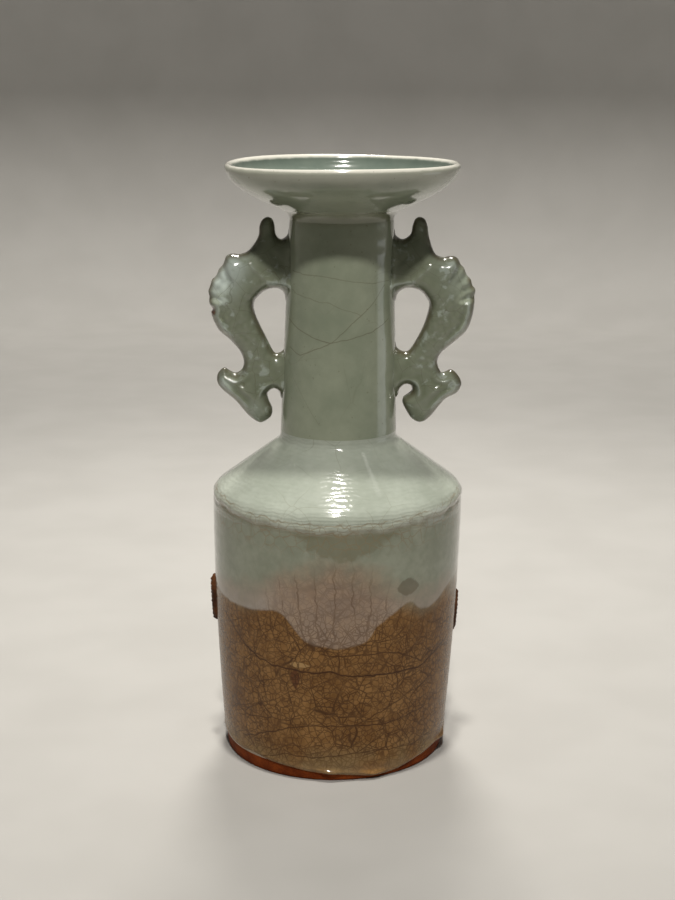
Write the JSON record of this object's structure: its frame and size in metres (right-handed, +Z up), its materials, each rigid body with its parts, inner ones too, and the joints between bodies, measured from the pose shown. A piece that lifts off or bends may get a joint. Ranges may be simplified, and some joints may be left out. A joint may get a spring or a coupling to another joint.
{
  "type": "vase",
  "caption": "Mallet-shaped celadon vase with a straight-sided body, sloping shoulder, tall neck, wide dish mouth and dragon-fish handles.",
  "frame": {"origin": "centre of the foot ring, on the surface that the vase stands on", "axes": "+Z up along the pot's axis, +X through the middle of the right handle, -Y towards the front"},
  "size_m": [0.1156, 0.1104, 0.262],
  "materials": {
    "foot_clay": "bare unglazed foot, burnt orange-red, dry and slightly rough",
    "biscuit_clay": "fired pale grey-buff stoneware under the glaze",
    "celadon_glaze": "grey-green celadon, glossy, sparse fine crackle",
    "pale_celadon_glaze": "paler thin celadon on the shoulder, inside and lip, glossy",
    "body_glaze": "celadon above, brown stained and densely crackled below, glossy",
    "handle_glaze": "celadon pooled in the carving and thin and brownish on the edges",
    "burnt_clay": "burnt red-brown clay, dull"
  },
  "bodies": {
    "root": {"foot_ring": "foot_clay", "base_disc": "biscuit_clay", "body_wall": "biscuit_clay", "shoulder": "biscuit_clay", "neck": "biscuit_clay", "mouth_dish": "biscuit_clay", "handle_left": "handle_glaze", "handle_right": "handle_glaze", "glaze_base": "pale_celadon_glaze", "glaze_body": "body_glaze", "glaze_shoulder": "pale_celadon_glaze", "glaze_neck": "celadon_glaze", "glaze_mouth_outside": "celadon_glaze", "glaze_mouth_inside": "pale_celadon_glaze", "glaze_neck_bore": "pale_celadon_glaze", "glaze_body_inside": "pale_celadon_glaze", "kiln_scar_left": "burnt_clay", "kiln_scar_right": "burnt_clay"}
  },
  "joints": []
}
